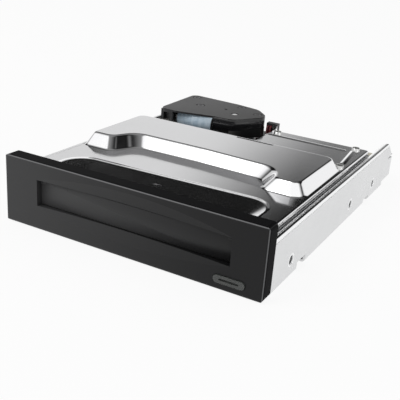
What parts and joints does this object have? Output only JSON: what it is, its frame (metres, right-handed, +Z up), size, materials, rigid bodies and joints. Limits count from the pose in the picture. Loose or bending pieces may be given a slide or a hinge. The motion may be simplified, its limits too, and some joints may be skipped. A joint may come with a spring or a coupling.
{
  "type": "removable_cartridge_disk_drive",
  "caption": "Removable-cartridge disk drive for a 3.5-inch bay with dark bezel, sprung door, eject button, pressed steel cover and motorised loading slide.",
  "frame": {"origin": "centre of the bounding box in plan, on the bottom face", "axes": "+X to the right seen from the front, +Y from the bezel to the rear, +Z up"},
  "size_m": [0.1016, 0.1394, 0.0254],
  "materials": {
    "bezel_plastic": "fine matt grain",
    "door_plastic": "matt black",
    "spring_steel": "drawn wire",
    "smoky_plastic": "smoky clear, glossy",
    "board_green": "solder mask",
    "black_plastic": "satin black",
    "lamp_white": "plain white",
    "zinc_steel": "zinc plated sheet",
    "screw_steel": "plated",
    "rubber_black": "matt",
    "chip_black": "moulded",
    "ceramic_tan": "plain",
    "gold_contact": "gold plated",
    "ivory_plastic": "natural acetal",
    "cast_aluminium": "die cast",
    "polished_steel": "polished stainless sheet",
    "dark_screw": "blackened",
    "motor_can": "nickel plated",
    "sleeve_blue": "plain blue sleeve",
    "slide_plastic": "moulded",
    "copper_coil": "enamelled copper",
    "bright_steel": "bright",
    "head_ceramic": "ground",
    "magnet_grey": "nickel plated magnet",
    "film_orange": "polyimide film",
    "lead_red": "wire insulation"
  },
  "bodies": {
    "chassis": {"bezel": "bezel_plastic", "button_springs": "spring_steel", "front_board": "board_green", "eject_switch": "black_plastic", "status_lamp": "lamp_white", "outer_frame": "zinc_steel", "bezel_screws": "screw_steel", "shock_mounts": "rubber_black", "mount_screws": "screw_steel", "circuit_board": "board_green", "board_screws": "screw_steel", "processor_chip": "chip_black", "memory_chips": "chip_black", "motor_driver": "chip_black", "capacitors": "ceramic_tan", "data_connector": "black_plastic", "data_pins": "gold_contact", "power_connector": "ivory_plastic", "power_pins": "gold_contact", "jumper_block": "black_plastic", "jumper_pins": "gold_contact", "jumper_cap": "black_plastic", "inner_chassis": "cast_aluminium", "guide_left": "ivory_plastic", "guide_right": "ivory_plastic", "top_cover": "polished_steel", "cover_screws": "screw_steel", "gear_housing": "black_plastic", "housing_plate": "black_plastic", "housing_screws": "dark_screw", "loading_motor": "motor_can", "motor_sleeve": "sleeve_blue", "wheel_axle": "screw_steel", "idler_axle": "screw_steel", "contact_block": "black_plastic", "contact_springs": "gold_contact", "pivot_shaft": "screw_steel", "lower_magnet_plate": "bright_steel", "upper_magnet_plate": "bright_steel", "magnets": "magnet_grey", "plate_spacers": "screw_steel", "head_ramp": "ivory_plastic", "flex_cable": "film_orange", "air_filter": "lamp_white", "lead_plug": "black_plastic", "lead_socket": "ivory_plastic", "motor_leads": "lead_red", "rear_tab": "motor_can"},
    "media_door": {"media_door": "door_plastic", "door_spring": "spring_steel"},
    "eject_button": {"eject_button": "smoky_plastic"},
    "loading_slide": {"loading_slide": "slide_plastic"},
    "reduction_gear": {"reduction_gear": "ivory_plastic"},
    "worm_wheel": {"worm_wheel": "ivory_plastic"},
    "worm_shaft": {"worm_shaft": "motor_can"},
    "head_arm": {"head_arm": "cast_aluminium", "voice_coil": "copper_coil", "suspensions": "bright_steel", "heads": "head_ceramic"}
  },
  "joints": [
    {"name": "door_swing", "type": "hinge", "parent": "chassis", "child": "media_door", "pos_m": [0.0013, -0.0664, 0.0173], "axis": [1, 0, 0], "range_deg": [0, 84], "stiffness_Nm_per_rad": 0.0006, "springref_deg": -20.05},
    {"name": "button_press", "type": "slide", "parent": "chassis", "child": "eject_button", "axis": [0, 1, 0], "range_m": [0, 0.001], "stiffness_N_per_m": 600, "springref_m": -0.0008, "deforming": ["button_springs"]},
    {"name": "reduction_spin", "type": "hinge", "parent": "chassis", "child": "reduction_gear", "pos_m": [-0.0206, 0.04, 0.018], "axis": [0, 0, -1], "range_deg": [-2, 156]},
    {"name": "slide_travel", "type": "slide", "parent": "chassis", "child": "loading_slide", "axis": [0, 1, 0], "range_m": [0, 0.008]},
    {"name": "wheel_spin", "type": "hinge", "parent": "chassis", "child": "worm_wheel", "pos_m": [-0.0136, 0.0351, 0.02], "axis": [0, 0, 1], "range_deg": [-5, 440]},
    {"name": "worm_spin", "type": "hinge", "parent": "chassis", "child": "worm_shaft", "pos_m": [-0.0136, 0.0285, 0.02095], "axis": [1, 0, 0], "range_deg": [-10500, 20]},
    {"name": "arm_swing", "type": "hinge", "parent": "chassis", "child": "head_arm", "pos_m": [0.02, 0.0237, 0.0125], "axis": [0, 0, 1], "range_deg": [0, 45]}
  ],
  "couplings": [
    {"joint": "reduction_spin", "follows": "slide_travel", "rad_per_m": 333.33},
    {"joint": "wheel_spin", "follows": "slide_travel", "rad_per_m": 933.33},
    {"joint": "worm_spin", "follows": "slide_travel", "rad_per_m": -22400}
  ]
}
